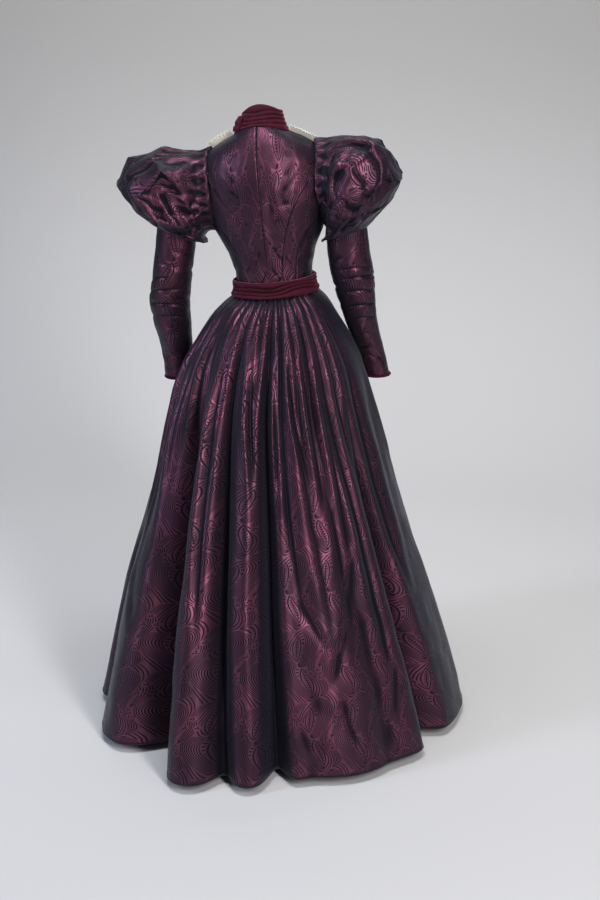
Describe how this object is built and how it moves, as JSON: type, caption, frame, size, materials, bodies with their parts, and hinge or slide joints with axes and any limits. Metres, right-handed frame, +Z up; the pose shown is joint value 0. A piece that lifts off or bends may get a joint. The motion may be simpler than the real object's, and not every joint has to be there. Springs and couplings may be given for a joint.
{
  "type": "afternoon dress",
  "caption": "Worn afternoon dress with ballooning sleeve puffs over close lower sleeves, a draped velvet collar and belt, and a long gored skirt with deep back folds.",
  "frame": {"origin": "middle of the neck at shoulder height, where the wearer holds the dress up", "axes": "+Z up, -Y the wearer's front, +X the wearer's left"},
  "size_m": [0.8889, 0.8665, 1.4222],
  "materials": {
    "damask": "changeable silk satin damask, burgundy ground with a blue-black pattern",
    "velvet": "wine red silk velvet",
    "lace": "matt cream lace",
    "braid": "matt black wool braid"
  },
  "bodies": {
    "root": {"skirt_back_right": "damask", "skirt_back_left": "damask", "skirt_side_left": "damask", "skirt_front": "damask", "skirt_side_right": "damask", "hem_braid": "braid", "bodice_back_left": "damask", "bodice_side_back_left": "damask", "bodice_side_left": "damask", "bodice_front_left": "damask", "bodice_back_right": "damask", "bodice_side_back_right": "damask", "bodice_side_right": "damask", "bodice_front_right": "damask", "belt": "velvet", "collar": "velvet", "collar_bow": "velvet", "lace_yoke_left": "lace", "lace_yoke_right": "lace", "sleeve_upper_left": "damask", "sleeve_under_left": "damask", "cuff_piping_left": "velvet", "sleeve_upper_right": "damask", "sleeve_under_right": "damask", "cuff_piping_right": "velvet", "puff_left": "damask", "puff_right": "damask"}
  },
  "joints": []
}
